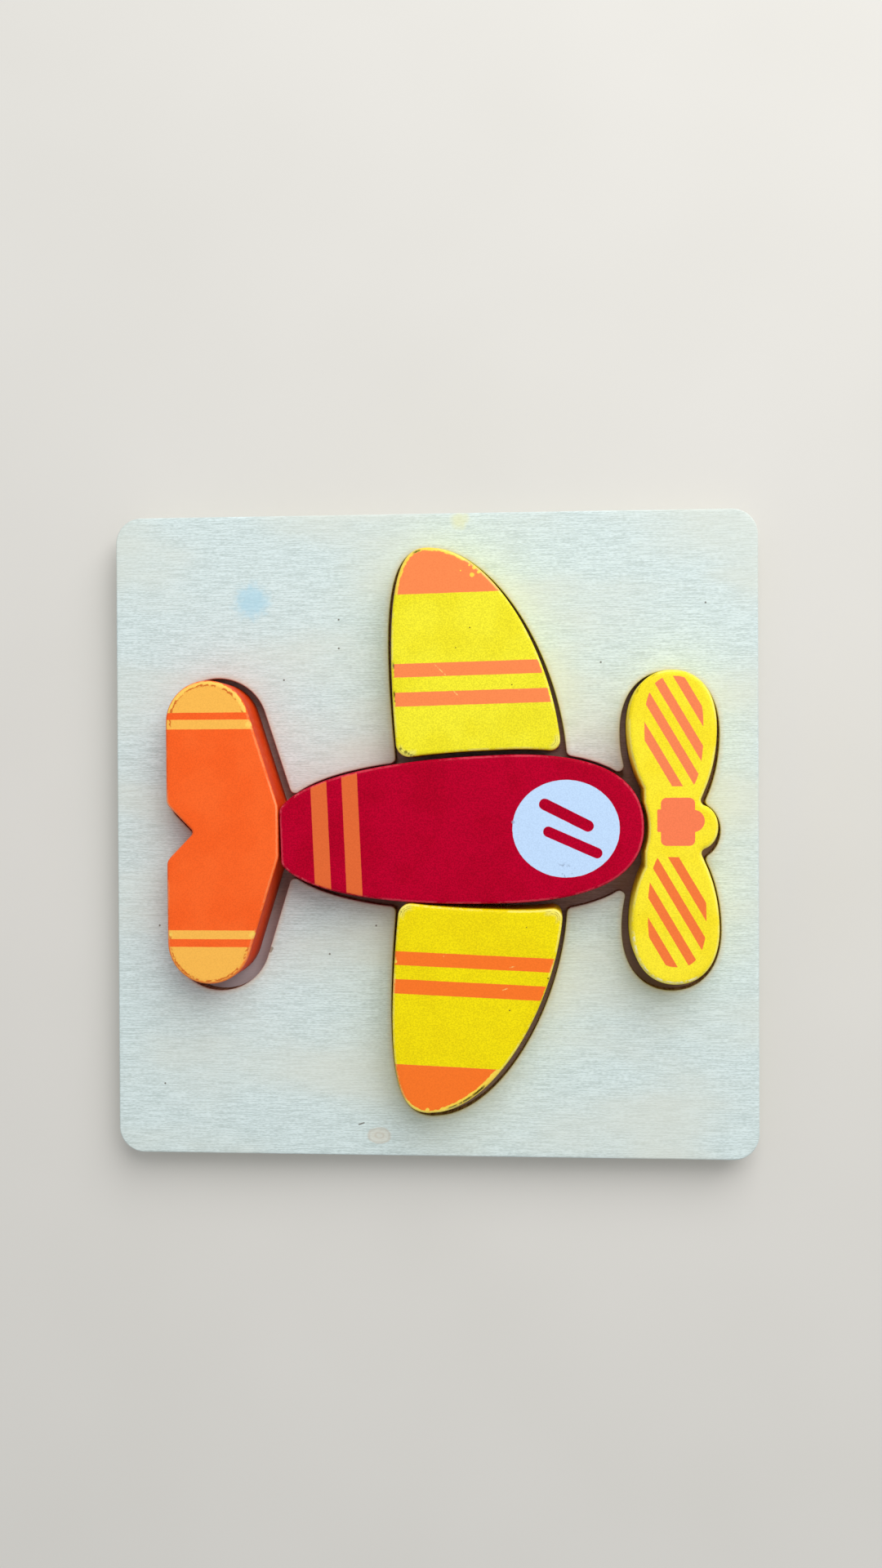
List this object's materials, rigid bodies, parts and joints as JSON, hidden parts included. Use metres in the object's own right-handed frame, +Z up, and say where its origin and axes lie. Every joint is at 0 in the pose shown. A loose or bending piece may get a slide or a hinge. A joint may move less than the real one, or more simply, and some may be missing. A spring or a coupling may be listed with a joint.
{
  "type": "wooden aeroplane tray puzzle",
  "caption": "Square plywood tray puzzle with an aeroplane-shaped recess and thick painted wooden pieces, fuselage, wings, tailplane and propeller, that lift straight out.",
  "frame": {"origin": "middle of the tray's underside", "axes": "+X towards the aeroplane's nose and propeller, +Y towards its left wing, +Z up out of the tray"},
  "size_m": [0.15, 0.15, 0.018],
  "materials": {
    "tray_wood": "smooth sealed birch plywood",
    "red_paint": "satin paint on wood",
    "yellow_paint": "satin paint on wood",
    "orange_paint": "satin paint on wood"
  },
  "bodies": {
    "tray": {"tray_base": "tray_wood", "tray_frame": "tray_wood"},
    "fuselage": {"fuselage": "red_paint"},
    "left_wing": {"left_wing": "yellow_paint"},
    "right_wing": {"right_wing": "yellow_paint"},
    "tailplane": {"tailplane": "orange_paint"},
    "propeller": {"propeller": "yellow_paint"}
  },
  "joints": [
    {"name": "fuselage_lift", "type": "slide", "parent": "tray", "child": "fuselage", "axis": [0, 0, 1], "range_m": [0, 0.03]},
    {"name": "left_wing_lift", "type": "slide", "parent": "tray", "child": "left_wing", "axis": [0, 0, 1], "range_m": [0, 0.03]},
    {"name": "right_wing_lift", "type": "slide", "parent": "tray", "child": "right_wing", "axis": [0, 0, 1], "range_m": [0, 0.03]},
    {"name": "tailplane_lift", "type": "slide", "parent": "tray", "child": "tailplane", "axis": [0, 0, 1], "range_m": [0, 0.03]},
    {"name": "propeller_lift", "type": "slide", "parent": "tray", "child": "propeller", "axis": [0, 0, 1], "range_m": [0, 0.03]}
  ]
}
